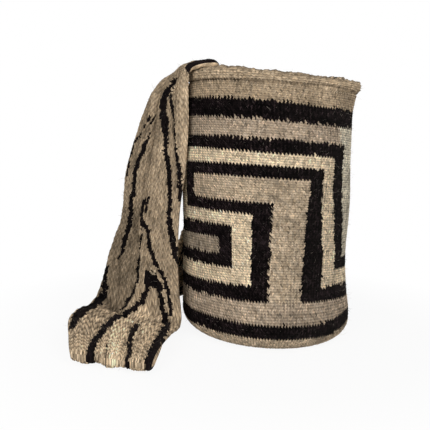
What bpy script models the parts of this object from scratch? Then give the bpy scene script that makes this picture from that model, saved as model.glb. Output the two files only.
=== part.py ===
"""A crocheted wool mochila: a round-bottomed bucket bag with an oval mouth, and its braided shoulder strap.

The bag stands on its base. Its origin is the centre of the base, on the surface that it stands on.
+Z is up, +X to the right and -Y to the front. All sizes are in metres.
Angles round the bag are in degrees from the front, and grow to the right.
"""

import math

import bpy
import numpy as np

# Crocheted bands, from the base up: name, height and yarn
BANDS = (
    ("foot", 0.0130, "tan"),
    ("foot_line", 0.0140, "dark"),
    ("lower_field", 0.0190, "tan"),
    ("low_line", 0.0140, "field"),
    ("low_cream", 0.0160, "field"),
    ("low_upper_line", 0.0125, "field"),
    ("inner_field", 0.0165, "field"),
    ("mid_lower_line", 0.0135, "field"),
    ("mid_cream", 0.0130, "field"),
    ("mid_line", 0.0120, "field"),
    ("broad_field", 0.0240, "field"),
    ("high_lower_line", 0.0125, "field"),
    ("high_cream", 0.0135, "field"),
    ("high_line", 0.0135, "field"),
    ("upper_field", 0.0195, "field"),
    ("collar_line", 0.0200, "dark"),
    ("collar", 0.0195, "tan"),
    ("hem", 0.0105, "tan"),
)
BODY_HEIGHT = sum(height for _, height, _ in BANDS)

# The crocheted wall
WALL_THICKNESS = 0.005
BASE_THICKNESS = 0.005
BASE_EDGE_ROUNDING = 0.020
HEM_BULGE = 0.0022
ROUND_RELIEF = 0.0005
ROUND_PITCH = 0.0050
RIM_TILT = 0.0045
RIM_DIP = 0.0040
RIM_DIP_TURN = (-88.0, 42.0)

# The wall's outline: height as a share of the body's, half width, front depth, back depth, shift to the right
WALL_SHAPE = (
    (0.00, 0.0925, 0.098, 0.0925, 0.0040),
    (0.10, 0.0925, 0.094, 0.0925, 0.0035),
    (0.18, 0.0915, 0.081, 0.0920, 0.0020),
    (0.29, 0.0910, 0.071, 0.0910, 0.0005),
    (0.47, 0.0910, 0.067, 0.0890, -0.0010),
    (0.65, 0.0910, 0.064, 0.0830, -0.0020),
    (0.80, 0.0915, 0.056, 0.0700, -0.0020),
    (0.90, 0.0920, 0.047, 0.0560, -0.0025),
    (1.00, 0.0930, 0.038, 0.0420, 0.0010),
)

# The meander, twice round the bag: where each upright is dark from, cream from, cream to and dark to,
# in degrees from the front
MEANDER_REPEAT = 180.0
OUTER_RISER = (-94.0, -83.0, -71.0, -60.0)
INNER_RISER = (-36.2, -25.2, -11.2, 2.3)
RIGHT_DROP = (26.7, 40.3, 52.5, 63.5)
COLUMN_TURN = 7.0

# The rounds drift to the left below this height, more at the right of the bag than at the left
DRIFT_FROM = 0.190
DRIFT_SPAN = 0.115
DRIFT_POWER = 1.3
DRIFT = 2.5
DRIFT_TO_RIGHT = 8.0

# The braided strap
STRAP_WIDTH = 0.078
STRAP_THICKNESS = 0.006
BRAID_RELIEF = 0.0009
CLEARANCE = 0.0010
INSIDE_CLEARANCE = 0.0022
ROOT_DEPTH = 0.028
ROOT_RISE = 0.0072
ROOT_STRAIGHT = 0.0026
STEPS_BETWEEN_STATIONS = 2
GATHERS = 3
PLEAT_PLACE = 0.56
PLEAT_TURN = 0.10

# The strap's front run, from the rim down: height as a share of the body's, the right edge's distance
# from the wall's left side and its place from back to front, the left edge's distance to the left and
# back of it and above it, how far the middle stands forward, how deep the gathers are, and how far the
# part left of the pleat lies behind the rest
FRONT_RUN = (
    (0.960, -0.0015, -0.0235, 0.0270, 0.0230, 0.0000, 0.009, 0.0022, 0.000),
    (0.890, -0.0040, -0.0250, 0.0450, 0.0240, -0.0020, 0.010, 0.0026, 0.000),
    (0.775, -0.0042, -0.0265, 0.0560, 0.0240, -0.0010, 0.009, 0.0018, 0.000),
    (0.615, -0.0027, -0.0290, 0.0665, 0.0220, -0.0020, 0.006, 0.0010, 0.000),
    (0.510, 0.0010, -0.0340, 0.0645, 0.0250, 0.0000, 0.005, 0.0000, 0.001),
    (0.410, 0.0030, -0.0380, 0.0670, 0.0250, 0.0040, 0.006, 0.0000, 0.004),
    (0.290, 0.0034, -0.0430, 0.0770, 0.0220, 0.0060, 0.007, 0.0000, 0.005),
    (0.180, 0.0018, -0.0500, 0.0850, 0.0180, 0.0060, 0.009, 0.0000, 0.005),
)

# The folded end on the floor: the right edge, then the left edge, each as left, forward and up
CREASE = ((0.0870, 0.0600, 0.0160), (0.1830, 0.0480, 0.0320))
FLOOR_MIDDLE = ((0.0940, 0.0980, 0.0150), (0.1950, 0.0860, 0.0250))
FLOOR_FRONT = ((0.1020, 0.1400, 0.0145), (0.1870, 0.1210, 0.0160))
FOLD_NOSE = ((0.1050, 0.1610, 0.0082), (0.1790, 0.1440, 0.0085))
UNDER_FRONT = ((0.1040, 0.1400), (0.1800, 0.1240))
UNDER_MIDDLE = ((0.1030, 0.0860), (0.1790, 0.0760))
UNDER_BACK = ((0.1090, 0.0300), (0.1830, 0.0240))
CREASE_BULGE = 0.006

# The strap's back run, up across the back of the bag: the middle's angle round the bag, its height,
# how steeply it climbs, and how far its middle plane stands off the wall
BACK_RUN = (
    (-112.0, 0.0520, 42.0, 0.0080),
    (-138.0, 0.0900, 46.0, 0.0056),
    (-160.0, 0.1280, 50.0, 0.0056),
    (-182.0, 0.1720, 56.0, 0.0058),
    (-202.0, 0.2160, 66.0, 0.0056),
    (-215.0, 0.2520, 80.0, 0.0062),
)
LEFT_ROOT = (-46.0, -128.0)
LEFT_TURN_OVER = (-60.0, -116.0)
TURN_OVER_OFF = 0.0020
RIGHT_ROOT = (-184.0, -240.0)

# Stripes of the strap: its yarns from edge to edge, one for each braided column
STRIPES = ("tan", "dark", "tan", "dark") + ("tan",) * 8 + ("dark", "tan", "dark", "tan")

# Wools: red, green and blue of each yarn
WOOLS = {
    "tan": (0.400, 0.310, 0.200),
    "grey": (0.290, 0.240, 0.170),
    "cream": (0.620, 0.500, 0.310),
    "dark": (0.010, 0.006, 0.006),
}
WOOL_ROUGHNESS = 0.95


def level(name):
    """The height of a band's lower edge."""
    height = 0.0
    for band, size, _ in BANDS:
        if band == name:
            return height
        height += size
    raise KeyError(name)


def smooth(x, table):
    """The rows of a table at x, its first column, on a smooth curve through them."""
    rows = np.array(table, float)
    knots, values = rows[:, 0], rows[:, 1:]
    x = np.clip(x, knots[0], knots[-1])
    slopes = np.gradient(values, knots, axis=0)
    i = int(np.clip(np.searchsorted(knots, x, side="right") - 1, 0, len(knots) - 2))
    span = knots[i + 1] - knots[i]
    t = (x - knots[i]) / span
    return (
        (2 * t**3 - 3 * t**2 + 1) * values[i]
        + (t**3 - 2 * t**2 + t) * span * slopes[i]
        + (3 * t**2 - 2 * t**3) * values[i + 1]
        + (t**3 - t**2) * span * slopes[i + 1]
    )


def edge_inset(height):
    """How far the rounded bottom edge draws the wall in."""
    rise = max(BASE_EDGE_ROUNDING - height, 0.0)
    return BASE_EDGE_ROUNDING - math.sqrt(BASE_EDGE_ROUNDING**2 - rise**2)


def drift(turn, height):
    """How far the crocheted columns have drifted round the bag at this height."""
    down = max(DRIFT_FROM - height, 0.0) / DRIFT_SPAN
    return (DRIFT + DRIFT_TO_RIGHT * math.sin(math.radians(turn))) * down**DRIFT_POWER


def wall_point(turn, height, out=0.0):
    """A point on the bag's outer face, or off it by out."""
    share = height / BODY_HEIGHT
    half_width, front, back, shift = smooth(share, WALL_SHAPE)
    inset = edge_inset(max(height, 0.0)) - out
    side, depth = math.sin(math.radians(turn)), math.cos(math.radians(turn))
    reach = front if depth > 0 else back
    apart = (turn - RIM_DIP_TURN[0] + 180.0) % 360.0 - 180.0
    dip = RIM_DIP * math.exp(-((apart / RIM_DIP_TURN[1]) ** 2))
    lift = -RIM_TILT * side * share**1.5 - dip * share**8
    return np.array(
        [
            shift + (half_width - inset) * side,
            -(reach - inset) * depth,
            height + lift,
        ]
    )


def in_box(turn, height, box):
    low_turn, high_turn, low, high = box
    middle = (low_turn + high_turn) / 2
    apart = (turn - middle + MEANDER_REPEAT / 2) % MEANDER_REPEAT - MEANDER_REPEAT / 2
    half = (high_turn - low_turn) / 2
    inside = abs(apart) < half or half > MEANDER_REPEAT / 2
    return inside and low < height < high


def meander_runs(cream):
    """The straight runs of the meander's cream line, or of that line with its dark outline."""
    if cream:
        near, far = 1, 2
        names = ("low_cream", "low_upper_line", "mid_cream", "mid_line", "high_cream", "high_line")
    else:
        near, far = 0, 3
        names = ("low_line", "inner_field", "mid_lower_line", "broad_field", "high_lower_line", "upper_field")
    low, low_top, mid, mid_top, high, high_top = (level(name) for name in names)
    return (
        (RIGHT_DROP[near] - MEANDER_REPEAT, INNER_RISER[far], low, low_top),
        (INNER_RISER[near], INNER_RISER[far], low, mid_top),
        (OUTER_RISER[near], INNER_RISER[far], mid, mid_top),
        (OUTER_RISER[near], OUTER_RISER[far], mid, high_top),
        (OUTER_RISER[near], RIGHT_DROP[far], high, high_top),
        (RIGHT_DROP[near], RIGHT_DROP[far], low, high_top),
    )


def yarn_at(turn, height):
    """The wool that shows at this place of the bag."""
    for name, size, yarn in BANDS:
        if level(name) <= height < level(name) + size and yarn != "field":
            return yarn
    if any(in_box(turn, height, box) for box in meander_runs(True)):
        return "cream"
    if any(in_box(turn, height, box) for box in meander_runs(False)):
        return "dark"
    return "grey"


def column_turns():
    """The angles of the body's columns: every edge of the meander, and enough between to look round."""
    edges = sorted({*OUTER_RISER, *INNER_RISER, *RIGHT_DROP})
    edges.append(edges[0] + MEANDER_REPEAT)
    turns = []
    for low, high in zip(edges, edges[1:]):
        count = max(1, math.ceil((high - low) / COLUMN_TURN))
        turns += [low + (high - low) * k / count for k in range(count)]
    return turns + [turn + MEANDER_REPEAT for turn in turns]


def ring_heights():
    """The heights of the body's rings: every band's edges, and whole rounds between."""
    heights = [0.0]
    for _, size, _ in BANDS:
        count = max(1, round(size / ROUND_PITCH))
        heights += [heights[-1] + size / count * (k + 1) for k in range(count)]
    return heights


def wool(name):
    material = bpy.data.materials.get("wool_" + name) or bpy.data.materials.new("wool_" + name)
    material.use_nodes = True
    shader = material.node_tree.nodes["Principled BSDF"]
    shader.inputs["Base Color"].default_value = (*WOOLS[name], 1.0)
    shader.inputs["Roughness"].default_value = WOOL_ROUGHNESS
    shader.inputs["Metallic"].default_value = 0.0
    material.diffuse_color = (*WOOLS[name], 1.0)
    return material


def add_piece(name, points, faces, yarns, collection):
    """A mesh object with one wool on each face."""
    mesh = bpy.data.meshes.new(name)
    mesh.from_pydata([tuple(point) for point in points], [], faces)
    used = sorted(set(yarns))
    for yarn in used:
        mesh.materials.append(wool(yarn))
    for polygon, yarn in zip(mesh.polygons, yarns):
        polygon.material_index = used.index(yarn)
    mesh.shade_smooth()
    mesh.validate()
    piece = bpy.data.objects.new(name, mesh)
    collection.objects.link(piece)
    return piece


def band_between(below, above, columns):
    """Quads that join one closed ring of points to the next, facing out."""
    return [
        (below + k, below + (k + 1) % columns, above + (k + 1) % columns, above + k)
        for k in range(columns)
    ]


def body_rings(turns):
    """Rings from the base's outer face up the wall, over the rim and down the inside, with their yarns."""
    rings, yarns = [], []
    heights = ring_heights()
    hem_from = level("hem")
    for i, height in enumerate(heights):
        relief = ROUND_RELIEF * (1 if i % 2 else -1) if 0 < height < hem_from else 0.0
        if height > hem_from:
            relief = HEM_BULGE
        rings.append([wall_point(turn - drift(turn, height), height, relief) for turn in turns])
        middle = (height + heights[min(i + 1, len(heights) - 1)]) / 2
        yarns.append([yarn_at((a + b) / 2, middle) for a, b in zip(turns, turns[1:] + [turns[0] + 360])])
    yarns[-1] = ["tan"] * len(turns)
    inside = WALL_THICKNESS
    top = BODY_HEIGHT + HEM_BULGE
    rings.append([wall_point(turn, top, HEM_BULGE - inside / 2) for turn in turns])
    rings.append([wall_point(turn, BODY_HEIGHT, -inside) for turn in turns])
    for share in (0.97, 0.93, 0.88, 0.82, 0.66, 0.48, 0.32, 0.2, 0.11):
        rings.append([wall_point(turn, share * BODY_HEIGHT, -inside) for turn in turns])
    floor = BASE_THICKNESS + BASE_EDGE_ROUNDING / 4
    rings.append([wall_point(turn, floor, -inside) for turn in turns])
    rings.append([0.86 * point + 0.14 * centre_over(point) for point in rings[-1]])
    for point in rings[-1]:
        point[2] = BASE_THICKNESS
    yarns += [["tan"] * len(turns) for _ in range(len(rings) - len(yarns))]
    return rings, yarns


def centre_over(point):
    """The body's middle at the height of a point."""
    return np.array([WALL_SHAPE[0][4], 0.0, point[2]])


def make_body(collection):
    """The crocheted body: base, wall and hem in one piece, open at the mouth."""
    turns = column_turns()
    rings, ring_yarns = body_rings(turns)
    columns = len(turns)
    points = [point for ring in rings for point in ring]
    faces, yarns = [], []
    for i in range(len(rings) - 1):
        faces += band_between(i * columns, (i + 1) * columns, columns)
        yarns += ring_yarns[i]
    under, over = len(points), len(points) + 1
    points += [centre_over(rings[0][0]), centre_over(rings[-1][0])]
    last = (len(rings) - 1) * columns
    for k in range(columns):
        faces.append(((k + 1) % columns, k, under))
        faces.append((last + k, last + (k + 1) % columns, over))
        yarns += ["tan", "tan"]
    return add_piece("bag_body", points, faces, yarns, collection)


def across():
    """Places across the strap, from 0 at its first edge to 1 at its other edge."""
    return np.linspace(0.0, 1.0, len(STRIPES) + 1)


def spread(first, last, bulge=0.0, forward=(0.0, -1.0, 0.0)):
    """A section of the strap from its first edge to its other edge, its middle pushed forward."""
    first, last, forward = (np.array(v, float) for v in (first, last, forward))
    return np.array([first + u * (last - first) + 4 * u * (1 - u) * bulge * forward for u in across()])


def wrapped(root, height, out):
    """A section of the strap that follows the wall from one angle to the other."""
    return np.array([wall_point(root[0] + u * (root[1] - root[0]), height, out) for u in across()])


def front_section(station):
    """A section of the front run, gathered near the rim and pleated near the floor."""
    share, off, front, left, back, up, bulge, gather, pleat = station
    height = share * BODY_HEIGHT
    edge = wall_point(-90.0, height)
    first = np.array([edge[0] - off, front, height])
    forward = np.array([-0.35, -0.93, 0.0])
    section = spread(first, first + np.array([-left, back, up]), bulge, forward)
    folds = gather * np.sin(2 * math.pi * GATHERS * across())
    folds -= pleat * np.clip((across() - PLEAT_PLACE) / PLEAT_TURN + 0.5, 0.0, 1.0)
    return section + folds[:, None] * forward


def floor_section(edges, bulge=0.0):
    """A section of the folded end, from its right edge to its left edge."""
    base = STRAP_THICKNESS / 2
    first, last = ((-edge[0], -edge[1], edge[2] if len(edge) > 2 else base) for edge in edges)
    return spread(first, last, bulge)


def back_section(station):
    """A section across the back run, which lies on the wall."""
    turn, height, climb, off = station
    half = STRAP_WIDTH / 2
    middle = wall_point(turn, height)
    reach = math.hypot(middle[0], middle[1])
    points = []
    for u in across():
        along = (1 - 2 * u) * half
        up = along * math.cos(math.radians(climb))
        round_it = along * math.sin(math.radians(climb))
        points.append(wall_point(turn + math.degrees(round_it / reach), height + up, off))
    return np.array(points)


def strap_sections():
    """The strap's middle surface, from its end sewn in at the left of the mouth to its end at the right."""
    inside = -(WALL_THICKNESS + STRAP_THICKNESS / 2 + INSIDE_CLEARANCE)
    outside = HEM_BULGE + STRAP_THICKNESS / 2 + CLEARANCE
    over = (inside + outside) / 2
    top = BODY_HEIGHT
    left = [
        wrapped(LEFT_ROOT, top - ROOT_DEPTH, inside),
        wrapped(LEFT_ROOT, top - ROOT_DEPTH / 2, inside),
        wrapped(LEFT_ROOT, top + ROOT_STRAIGHT, inside),
        wrapped(LEFT_ROOT, top + ROOT_RISE, over),
        wrapped(LEFT_TURN_OVER, top + ROOT_STRAIGHT, outside + TURN_OVER_OFF),
    ]
    right = [
        wrapped(RIGHT_ROOT, top + ROOT_STRAIGHT, outside),
        wrapped(RIGHT_ROOT, top + ROOT_RISE, over),
        wrapped(RIGHT_ROOT, top + ROOT_STRAIGHT, inside),
        wrapped(RIGHT_ROOT, top - ROOT_DEPTH / 2, inside),
        wrapped(RIGHT_ROOT, top - ROOT_DEPTH, inside),
    ]
    floor = [
        floor_section(CREASE, CREASE_BULGE),
        floor_section(FLOOR_MIDDLE),
        floor_section(FLOOR_FRONT),
        floor_section(FOLD_NOSE),
        floor_section(UNDER_FRONT),
        floor_section(UNDER_MIDDLE),
        floor_section(UNDER_BACK),
    ]
    return (
        left
        + [front_section(station) for station in FRONT_RUN]
        + floor
        + [back_section(station) for station in BACK_RUN]
        + right
    )


def between(sections, steps):
    """More sections on a smooth curve through those given."""
    padded = [2 * sections[0] - sections[1], *sections, 2 * sections[-1] - sections[-2]]
    found = []
    for a, b, c, d in zip(padded, padded[1:], padded[2:], padded[3:]):
        for k in range(steps):
            t = k / steps
            found.append(
                0.5 * (2 * b + (c - a) * t + (2 * a - 5 * b + 4 * c - d) * t**2 + (3 * b - a - 3 * c + d) * t**3)
            )
    return np.array(found + [sections[-1]])


def make_strap(collection):
    """The braided strap: one flat band from end to end, folded where it lies on the floor."""
    middle = between(strap_sections(), STEPS_BETWEEN_STATIONS)
    middle[:, :, 2] = np.maximum(middle[:, :, 2], STRAP_THICKNESS / 2)
    along = np.gradient(middle, axis=0)
    sideways = np.gradient(middle, axis=1)
    normal = np.cross(along, sideways)
    normal /= np.linalg.norm(normal, axis=2, keepdims=True)
    count = middle.shape[1]
    relief = np.array([BRAID_RELIEF * (k % 2) for k in range(count)])
    relief[[0, -1]] = STRAP_THICKNESS / 5
    half = (STRAP_THICKNESS / 2 - relief)[None, :, None]
    face, back = middle + half * normal, middle - half * normal
    rings = np.concatenate([face, back[:, ::-1]], axis=1)
    columns = rings.shape[1]
    points = rings.reshape(-1, 3)
    points[:, 2] = np.maximum(points[:, 2], 0.0)
    faces, yarns = [], []
    ring_yarns = list(STRIPES) + ["tan"] + list(STRIPES[::-1]) + ["tan"]
    for i in range(len(rings) - 1):
        faces += [quad[::-1] for quad in band_between(i * columns, (i + 1) * columns, columns)]
        yarns += ring_yarns
    last = (len(rings) - 1) * columns
    for k in range(count - 1):
        mate = columns - 1 - k
        faces.append((k, k + 1, mate - 1, mate))
        faces.append((last + k, last + mate, last + mate - 1, last + k + 1))
        yarns += [STRIPES[k]] * 2
    return add_piece("strap", points, faces, yarns, collection)


def main():
    for old in list(bpy.data.objects):
        bpy.data.objects.remove(old)
    collection = bpy.data.collections.new("mochila_bag")
    bpy.context.scene.collection.children.link(collection)
    make_body(collection)
    make_strap(collection)


main()
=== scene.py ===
"""A crocheted wool mochila bag with its braided strap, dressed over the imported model."""

import math

import bpy
import numpy as np
from bpy.props import FloatProperty, FloatVectorProperty, IntProperty, PointerProperty
from bpy.types import Operator, Panel, PropertyGroup
from mathutils import Matrix, Vector


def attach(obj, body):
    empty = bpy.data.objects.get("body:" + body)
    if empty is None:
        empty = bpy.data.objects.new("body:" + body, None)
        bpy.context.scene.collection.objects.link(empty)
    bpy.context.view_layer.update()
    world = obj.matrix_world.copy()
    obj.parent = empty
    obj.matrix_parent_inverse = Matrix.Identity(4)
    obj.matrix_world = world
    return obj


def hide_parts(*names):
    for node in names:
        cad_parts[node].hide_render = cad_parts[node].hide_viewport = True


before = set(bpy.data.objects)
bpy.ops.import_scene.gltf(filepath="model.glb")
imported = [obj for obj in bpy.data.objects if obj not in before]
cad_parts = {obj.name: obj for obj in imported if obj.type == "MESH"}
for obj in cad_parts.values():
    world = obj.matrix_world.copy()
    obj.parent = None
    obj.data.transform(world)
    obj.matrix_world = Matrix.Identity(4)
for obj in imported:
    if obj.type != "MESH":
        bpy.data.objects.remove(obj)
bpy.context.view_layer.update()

bl_info = {
    "name": "Crocheted Mochila Bag",
    "version": (1, 0, 0),
    "blender": (4, 5, 0),
    "location": "View3D > Sidebar > Mochila",
    "description": "Builds a crocheted wool bucket bag with a braided strap",
    "category": "Add Mesh",
}

BODY = "root"

# The bag's bands, from the base up: name, height and yarn
BANDS = (
    ("foot", 0.0130, "sand"),
    ("foot_line", 0.0140, "dark"),
    ("lower_field", 0.0190, "brown_grey"),
    ("low_line", 0.0140, "field"),
    ("low_cream", 0.0160, "field"),
    ("low_upper_line", 0.0125, "field"),
    ("inner_field", 0.0165, "field"),
    ("mid_lower_line", 0.0135, "field"),
    ("mid_cream", 0.0130, "field"),
    ("mid_line", 0.0120, "field"),
    ("broad_field", 0.0240, "field"),
    ("high_lower_line", 0.0125, "field"),
    ("high_cream", 0.0135, "field"),
    ("high_line", 0.0135, "field"),
    ("upper_field", 0.0195, "field"),
    ("collar_line", 0.0200, "dark"),
    ("collar", 0.0195, "tan"),
    ("hem", 0.0105, "tan"),
)
BODY_HEIGHT = sum(height for _, height, _ in BANDS)

# The wall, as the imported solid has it
WALL_THICKNESS = 0.005
EDGE_ROUNDING = 0.020
HEM_BULGE = 0.0022
RIM_TILT = 0.0045
RIM_DIP = 0.0040
RIM_DIP_TURN = (-88.0, 42.0)
WALL_SHAPE = (
    (0.00, 0.0925, 0.098, 0.0925, 0.0040),
    (0.10, 0.0925, 0.094, 0.0925, 0.0035),
    (0.18, 0.0915, 0.081, 0.0920, 0.0020),
    (0.29, 0.0910, 0.071, 0.0910, 0.0005),
    (0.47, 0.0910, 0.067, 0.0890, -0.0010),
    (0.65, 0.0910, 0.064, 0.0830, -0.0020),
    (0.80, 0.0915, 0.056, 0.0700, -0.0020),
    (0.90, 0.0920, 0.047, 0.0560, -0.0025),
    (1.00, 0.0930, 0.038, 0.0420, 0.0010),
)

# The meander, twice round the bag: where each upright is dark from, cream from, cream to and
# dark to, in degrees from the front, and how the columns of stitches drift towards the base
MEANDER_REPEAT = 180.0
OUTER_RISER = (-94.0, -83.0, -71.0, -60.0)
INNER_RISER = (-36.2, -25.2, -11.2, 2.3)
RIGHT_DROP = (26.7, 40.3, 52.5, 63.5)
DRIFT_FROM = 0.190
DRIFT_SPAN = 0.115
DRIFT_POWER = 1.3
DRIFT = 2.5
DRIFT_TO_RIGHT = 8.0

# How far the right drop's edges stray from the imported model's, to the left: by height, in degrees,
# and the share of it by angle
STRAY = (
    (0.0855, 5.0), (0.1005, 3.6), (0.1155, 1.2), (0.1305, -0.9),
    (0.1485, -4.0), (0.1700, -6.8), (0.1860, -8.2), (0.2025, -7.5),
)
STRAY_SHARE = ((26.0, 0.0), (36.0, 0.5), (45.0, 0.9), (55.0, 1.0), (70.0, 1.0), (85.0, 0.0))

# The foot's dark line sits higher at the bag's right side: heights there and the usual ones,
# and the share of it by angle
FOOT_LINE_LIFT = ((0.0, 0.0), (0.0215, 0.0130), (0.0350, 0.0270), (0.0460, 0.0460), (1.0, 1.0))
FOOT_LINE_SHARE = ((42.0, 0.0), (56.0, 0.15), (68.0, 0.6), (80.0, 1.0), (100.0, 1.0), (150.0, 0.0))

# The upper field is pale within this angle of the bag's right side
UPPER_PALE_TURN = 32.0

# Yarn: its wools, how much warmer or cooler it gets from face to face, and the tones of its
# fibres and patches over the span of their noise
WOOLS = ("tan", "strap", "sand", "brown_grey", "grey", "pale_grey", "cream", "dark")
WARMTH = 0.016
FIBRE_TONES = (0.72, 1.28)
PATCH_TONES = (0.86, 1.14)
PATCHES_PER_METRE = 120.0
NOISE_SPAN = (0.30, 0.70)

# Crochet: how many stitches and rounds, then where a stitch's second leg stands and how far
# every other row leans, in stitches
STITCHES = 150
BASE_ROWS = 18
EDGE_ROUNDS = 12
WALL_ROUNDS = 103
INSIDE_ROWS = 52
FACES_PER_STITCH = 2
SECOND_LEG = 0.36
ROW_LEAN = 0.12

# The teeth of a stitch: the step of its colours and how ragged it is, in half rounds, how ragged
# its shape is, and over which heights teeth fade in from the foot and out towards the rim
TOOTH_STEP = 0.45
TOOTH_RAGGED = 0.22
RAGGED = 0.0002
TOOTH_FROM, TOOTH_FULL = 0.002, 0.014
TOOTH_TO_RIM, TOOTH_FULL_TO_RIM = 0.004, 0.010

# The hem: how it tucks in at its lower edge, by how much and over which share of its height, how
# it rolls out above, then the rows over the rim: up from it, out, and their share of relief
HEM_TUCK = (0.0020, 0.12)
HEM_ROLL = (1.15, 0.62, 0.8)
RIM_ROWS = (
    (0.0010, 0.0012, 1.0), (0.0018, 0.0, 1.0), (0.0022, -0.0014, 1.0), (0.0020, -0.0030, 1.0),
    (0.0010, -0.0044, 0.8),
)

# The inside's foot, its base, and the base's rows as shares of the wall's width
INSIDE_FOOT = (0.0150, 0.0110, 0.0082, 0.0064)
INSIDE_BASE = 0.0055
INSIDE_SHARES = (0.97, 0.85, 0.70, 0.50, 0.30, 0.12, 0.02)

# Relief off the smooth wall: the legs' share of the rounds', then lumps of stitches, rim and wall
LEG_RELIEF = 0.25
LUMPS = 0.00012
RIM_KNOBS = 0.0005
WALL_DENTS = 0.0009

# Tones of the crochet: a stitch's two legs on a raised row, in painted light, and in a groove, in
# painted shade, then a round in painted light and the line between two in painted shade, with the
# cosines that they have, how far the tone of stitches, rounds, faces and patches varies, and the
# painted shadow under the hem
RAISED_PAINTED_LIGHT = (1.26, 1.14)
GROOVE_PAINTED_SHADE = (0.86, 0.76)
ROUND_PAINTED_SHADING = (1.17, 0.73)
ROUND_SPAN = (0.1, -1.0)
STITCH_VARIES = 0.09
ROUND_VARIES = 0.05
FACE_VARIES = 0.26
PATCH_VARIES = 0.07
HEM_SHADOW_DARK = 0.35
HEM_SHADOW_HALF = 0.0016

# The strap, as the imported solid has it
STRAP_THICKNESS = 0.006
STRAP_WIDTH = 0.078
CLEARANCE = 0.0010
INSIDE_CLEARANCE = 0.0022
ROOT_DEPTH = 0.028
ROOT_RISE = 0.0072
ROOT_STRAIGHT = 0.0026
GATHERS = 3
FRONT_RUN = (
    (0.960, -0.0015, -0.0235, 0.0270, 0.0230, 0.0000, 0.009, 0.0022),
    (0.890, -0.0040, -0.0250, 0.0450, 0.0240, -0.0020, 0.010, 0.0026),
    (0.775, -0.0042, -0.0265, 0.0560, 0.0240, -0.0010, 0.009, 0.0018),
    (0.615, -0.0027, -0.0290, 0.0665, 0.0220, -0.0020, 0.006, 0.0010),
    (0.510, 0.0010, -0.0340, 0.0645, 0.0250, 0.0000, 0.005, 0.0000),
    (0.410, 0.0030, -0.0380, 0.0670, 0.0250, 0.0040, 0.006, 0.0000),
    (0.290, 0.0034, -0.0430, 0.0770, 0.0220, 0.0060, 0.007, 0.0000),
    (0.180, 0.0018, -0.0500, 0.0850, 0.0180, 0.0060, 0.009, 0.0000),
)
FLOOR_RUN = (
    ((0.0870, 0.0600, 0.0160), (0.1830, 0.0480, 0.0320), 0.006),
    ((0.0940, 0.0980, 0.0150), (0.1950, 0.0860, 0.0250), 0.0),
    ((0.1020, 0.1400, 0.0145), (0.1870, 0.1210, 0.0160), 0.0),
    ((0.1050, 0.1610, 0.0082), (0.1790, 0.1440, 0.0085), 0.0),
    ((0.1040, 0.1400, 0.0030), (0.1800, 0.1240, 0.0030), 0.0),
    ((0.1030, 0.0860, 0.0030), (0.1790, 0.0760, 0.0030), 0.0),
    ((0.1090, 0.0300, 0.0030), (0.1830, 0.0240, 0.0030), 0.0),
)
BACK_RUN = (
    (-112.0, 0.0520, 42.0, 0.0080),
    (-138.0, 0.0900, 46.0, 0.0056),
    (-160.0, 0.1280, 50.0, 0.0056),
    (-182.0, 0.1720, 56.0, 0.0058),
    (-202.0, 0.2160, 66.0, 0.0056),
    (-215.0, 0.2520, 80.0, 0.0062),
)
LEFT_ROOT = (-46.0, -128.0)
LEFT_TURN_OVER = (-60.0, -116.0)
TURN_OVER_OFF = 0.0020
RIGHT_ROOT = (-184.0, -240.0)

# Braid of the strap. A plait's length is given up to each place along the strap: long where it
# lies folded, short round the fold's nose
BRAID_COLUMNS = 16
FACES_PER_BRAID = 5
BRAID_ROWS = 815
BRAID_PITCHES = ((0.300, 0.0070), (0.398, 0.0115), (0.460, 0.0046), (1.200, 0.0070))
BRAID_SLANT = 0.90
PLAIT_FULLNESS = 0.8
GROOVE_FROM = 0.7
MIDDLE_GROOVE = (0.15, 0.45)
STRAP_LUMPS = 0.0004
EDGE_ROUND = 0.004
END_THINNING = 0.96
THINNEST = 0.0002
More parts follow.
